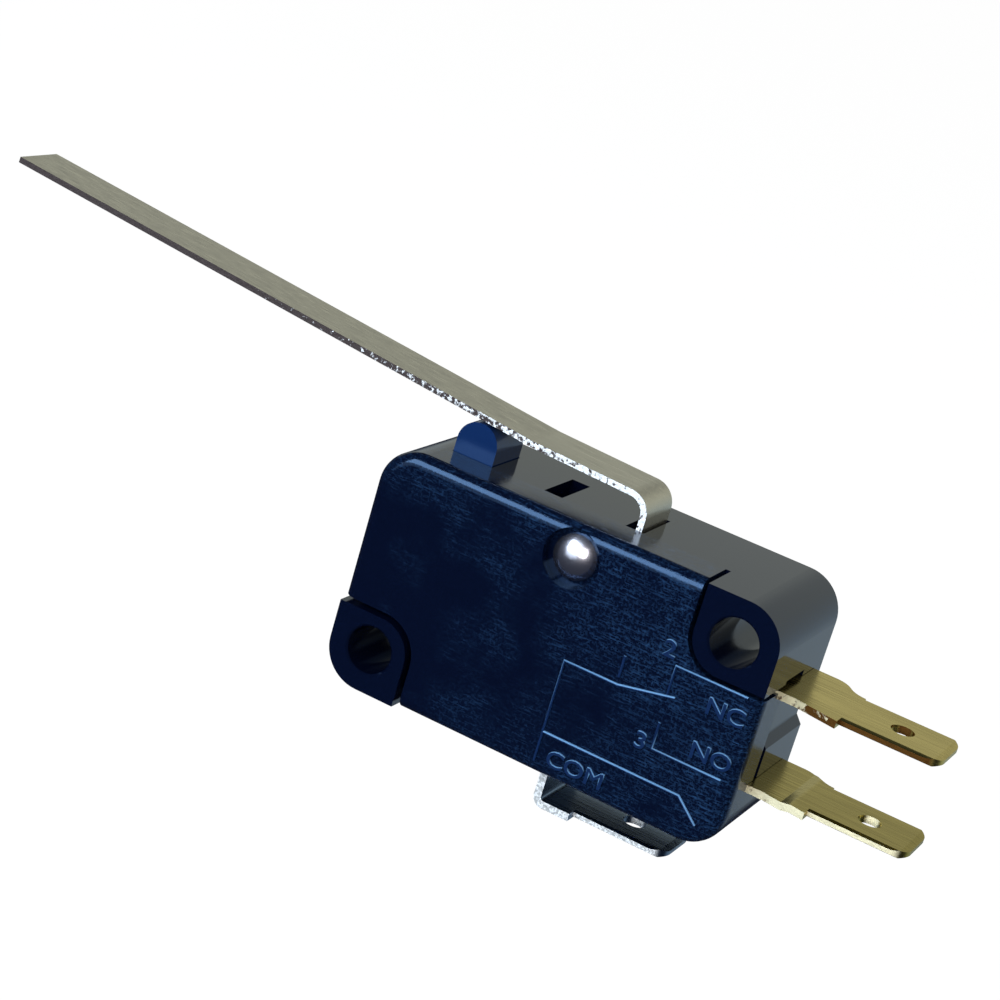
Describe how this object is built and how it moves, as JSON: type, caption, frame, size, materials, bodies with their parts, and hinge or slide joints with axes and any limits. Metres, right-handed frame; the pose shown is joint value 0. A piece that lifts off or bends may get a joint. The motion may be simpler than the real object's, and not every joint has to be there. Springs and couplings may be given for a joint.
{
  "type": "lever micro switch",
  "caption": "Snap-action switch in a flat rounded housing, worked by a long hinged sheet-metal lever over its plunger, with a change-over contact and push-on blade terminals.",
  "frame": {"origin": "half way between the two mounting holes, at mid thickness of the housing", "axes": "+X along the housing towards the two end blades, +Y through the mounting holes away from the cover, +Z out of the top face towards the plunger and the lever"},
  "size_m": [0.0712, 0.0104, 0.0254],
  "materials": {
    "black_plastic": "gloss",
    "plunger_plastic": "gloss",
    "nickel": "bright nickel plate",
    "stainless": "brushed",
    "plated_brass": "nickel-plated, satin",
    "brass": "rolled, satin",
    "silver": "polished silver alloy",
    "spring_copper": "rolled copper alloy"
  },
  "bodies": {
    "housing": {"case_base": "black_plastic", "cover": "black_plastic", "cover_rivet": "nickel", "com_terminal": "plated_brass", "nc_terminal": "brass", "no_terminal": "brass", "nc_contact": "silver", "no_contact": "silver"},
    "lever": {"hinge_lever": "stainless"},
    "plunger": {"plunger": "plunger_plastic"},
    "contact_arm": {"moving_contact": "silver", "snap_spring": "spring_copper"}
  },
  "joints": [
    {"name": "lever_hinge", "type": "hinge", "parent": "housing", "child": "lever", "pos_m": [0.00266, 0.00045, 0.00682], "axis": [0, -1, 0], "range_deg": [0, 10.3], "stiffness_Nm_per_rad": 0.03, "springref_deg": -8.59},
    {"name": "plunger_slide", "type": "slide", "parent": "housing", "child": "plunger", "axis": [0, 0, -1], "range_m": [0, 0.0022]},
    {"name": "contact_swing", "type": "hinge", "parent": "housing", "child": "contact_arm", "pos_m": [-0.0121, 0.00035, 0.0019], "axis": [0, 1, 0], "range_deg": [0, 1.63], "deforming": ["snap_spring"]}
  ],
  "couplings": [
    {"joint": "plunger_slide", "follows": "lever_hinge", "m_per_rad": 0.0121},
    {"joint": "contact_swing", "follows": "lever_hinge", "ratio": 0.157}
  ]
}
